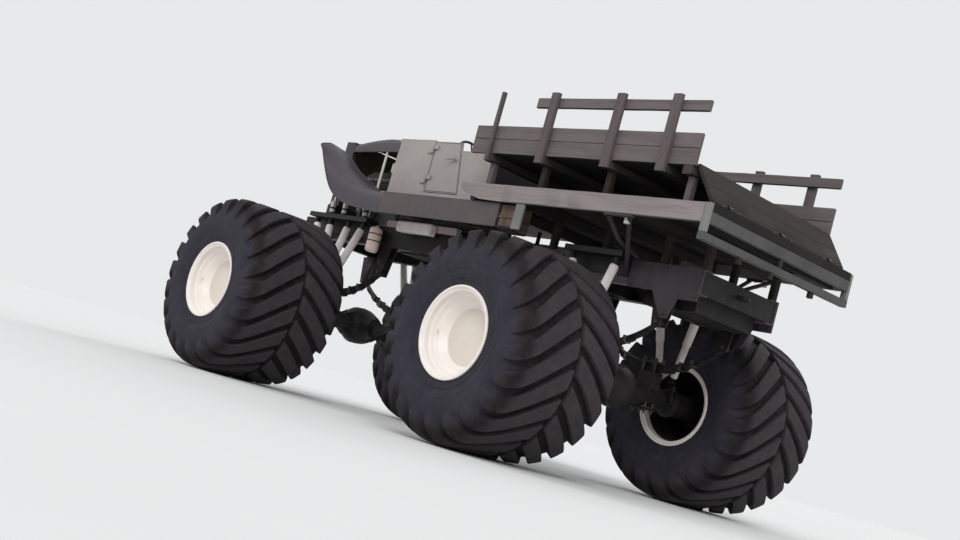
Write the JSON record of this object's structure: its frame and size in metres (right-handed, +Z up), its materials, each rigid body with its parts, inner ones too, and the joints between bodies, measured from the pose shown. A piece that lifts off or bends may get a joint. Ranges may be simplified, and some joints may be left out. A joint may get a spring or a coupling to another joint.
{
  "type": "monster truck with an open-cab stake truck body",
  "caption": "Raised truck on huge lugged tyres, with leaf springs, steered front axle, open cab, fenders and a slatted wooden load deck.",
  "frame": {"origin": "on the ground under the middle of the truck's box", "axes": "+X forward, +Y to the truck's left, +Z up"},
  "size_m": [5.756, 3.802, 3.05],
  "materials": {
    "tyre_rubber": "matt, dusty",
    "wheel_paint": "gloss",
    "axle_paint": "satin",
    "spring_steel": "dark, oily",
    "damper_paint": "gloss",
    "frame_paint": "satin",
    "drive_steel": "satin",
    "bar_steel": "satin",
    "engine_paint": "satin",
    "tank_paint": "satin",
    "deck_wood": "bare, weathered",
    "sill_wood": "bare, weathered grey",
    "rack_wood": "bare, weathered grey",
    "tail_wood": "bare, dark",
    "cab_paint": "faded",
    "hood_paint": "faded",
    "fender_paint": "faded",
    "core_metal": "dull",
    "lamp_metal": "worn",
    "seat_leather": "worn",
    "wheel_rim_black": "satin"
  },
  "bodies": {
    "root": {"axle_front": "axle_paint", "axle_rear": "axle_paint", "bench_seat": "seat_leather", "cab_tub": "cab_paint", "cowl": "cab_paint", "cross_members": "frame_paint", "damper_mounts": "frame_paint", "dampers": "damper_paint", "deck": "deck_wood", "deck_bearers": "deck_wood", "deck_braces": "frame_paint", "deck_sills": "sill_wood", "driveshafts": "drive_steel", "engine_block": "engine_paint", "engine_heads": "engine_paint", "exhausts": "engine_paint", "fenders": "fender_paint", "frame_rails": "frame_paint", "fuel_cell": "tank_paint", "headlamps": "lamp_metal", "hood": "hood_paint", "hood_posts": "engine_paint", "leaf_springs": "spring_steel", "rack_floor": "rack_wood", "rack_frame": "rack_wood", "rack_sides": "rack_wood", "radiator_core": "core_metal", "radiator_shell": "hood_paint", "running_boards": "fender_paint", "side_bars": "bar_steel", "side_plates": "frame_paint", "spring_hangers": "spring_steel", "steering_wheel": "wheel_rim_black", "tail_frame": "sill_wood", "transmission": "drive_steel"},
    "knuckle_left": {"knuckle_left": "axle_paint"},
    "knuckle_right": {"knuckle_right": "axle_paint"},
    "tie_rod": {"tie_rod": "axle_paint"},
    "door_left": {"door_left": "cab_paint"},
    "door_right": {"door_right": "cab_paint"},
    "tail_board": {"tail_board": "tail_wood"},
    "roller_front_left": {"tyre_front_left": "tyre_rubber", "wheel_front_left": "wheel_paint"},
    "roller_front_right": {"tyre_front_right": "tyre_rubber", "wheel_front_right": "wheel_paint"},
    "roller_rear_left": {"tyre_rear_left": "tyre_rubber", "wheel_rear_left": "wheel_paint"},
    "roller_rear_right": {"tyre_rear_right": "tyre_rubber", "wheel_rear_right": "wheel_paint"}
  },
  "joints": [
    {"name": "steer_left", "type": "hinge", "parent": "root", "child": "knuckle_left", "pos_m": [2.04, 0.95, 0.838], "axis": [0, 0, 1], "range_deg": [-20, 20]},
    {"name": "steer_right", "type": "hinge", "parent": "root", "child": "knuckle_right", "pos_m": [2.04, -0.95, 0.838], "axis": [0, 0, 1], "range_deg": [-20, 20]},
    {"name": "tie_rod_pivot", "type": "hinge", "parent": "knuckle_left", "child": "tie_rod", "pos_m": [2.265, 0.95, 0.838], "axis": [0, 0, 1], "range_deg": [-20, 20]},
    {"name": "roll_front_left", "type": "hinge", "parent": "knuckle_left", "child": "roller_front_left", "pos_m": [2.04, 1.356, 0.838], "axis": [0, 1, 0], "continuous": true},
    {"name": "roll_front_right", "type": "hinge", "parent": "knuckle_right", "child": "roller_front_right", "pos_m": [2.04, -1.356, 0.838], "axis": [0, 1, 0], "continuous": true},
    {"name": "roll_rear_left", "type": "hinge", "parent": "root", "child": "roller_rear_left", "pos_m": [-1.528, 1.356, 0.838], "axis": [0, 1, 0], "continuous": true},
    {"name": "roll_rear_right", "type": "hinge", "parent": "root", "child": "roller_rear_right", "pos_m": [-1.528, -1.356, 0.838], "axis": [0, 1, 0], "continuous": true},
    {"name": "open_door_left", "type": "hinge", "parent": "root", "child": "door_left", "pos_m": [0.882, 0.615, 2.45], "axis": [0, 0, -1], "range_deg": [0, 65]},
    {"name": "open_door_right", "type": "hinge", "parent": "root", "child": "door_right", "pos_m": [0.882, -0.615, 2.45], "axis": [0, 0, 1], "range_deg": [0, 65]},
    {"name": "drop_tail_board", "type": "hinge", "parent": "root", "child": "tail_board", "pos_m": [-2.808, 0, 2.242], "axis": [0, -1, 0], "range_deg": [0, 125]}
  ],
  "couplings": [
    {"joint": "steer_right", "follows": "steer_left", "ratio": 1},
    {"joint": "tie_rod_pivot", "follows": "steer_left", "ratio": -1}
  ]
}
